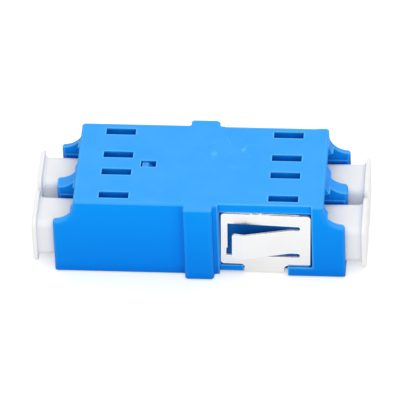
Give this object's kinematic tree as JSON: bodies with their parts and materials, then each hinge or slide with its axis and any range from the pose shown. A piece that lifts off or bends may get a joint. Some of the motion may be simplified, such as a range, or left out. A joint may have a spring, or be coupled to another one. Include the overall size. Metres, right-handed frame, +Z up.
{
  "type": "lc fibre adapter",
  "caption": "Duplex fibre adapter: blue snap-in housing with a panel collar, split sleeves inside, a sprung steel panel clip and white dust caps in its ports.",
  "frame": {"origin": "on the flat underside, below the middle of the panel collar and midway between the two fibre lines", "axes": "+X along the fibre lines toward the end that carries the panel clip, +Y across the two ports away from the viewer, +Z up through the latch side"},
  "size_m": [0.0339, 0.0142, 0.0094],
  "materials": {
    "adapter_blue": "satin moulded",
    "insert_blue": "satin moulded",
    "sleeve_zirconia": "polished",
    "spring_steel": "bright rolled",
    "cap_white": "satin moulded"
  },
  "bodies": {
    "adapter_body": {"housing": "adapter_blue", "divider_insert": "insert_blue", "split_sleeve_near": "sleeve_zirconia", "split_sleeve_far": "sleeve_zirconia", "panel_clip": "spring_steel"},
    "cap_left_near": {"dust_cap_left_near": "cap_white"},
    "cap_left_far": {"dust_cap_left_far": "cap_white"},
    "cap_right_near": {"dust_cap_right_near": "cap_white"},
    "cap_right_far": {"dust_cap_right_far": "cap_white"}
  },
  "joints": [
    {"name": "pull_dust_cap_left_near", "type": "slide", "parent": "adapter_body", "child": "cap_left_near", "axis": [-1, 0, 0], "range_m": [0, 0.009]},
    {"name": "pull_dust_cap_left_far", "type": "slide", "parent": "adapter_body", "child": "cap_left_far", "axis": [-1, 0, 0], "range_m": [0, 0.009]},
    {"name": "pull_dust_cap_right_near", "type": "slide", "parent": "adapter_body", "child": "cap_right_near", "axis": [1, 0, 0], "range_m": [0, 0.009]},
    {"name": "pull_dust_cap_right_far", "type": "slide", "parent": "adapter_body", "child": "cap_right_far", "axis": [1, 0, 0], "range_m": [0, 0.009]}
  ]
}
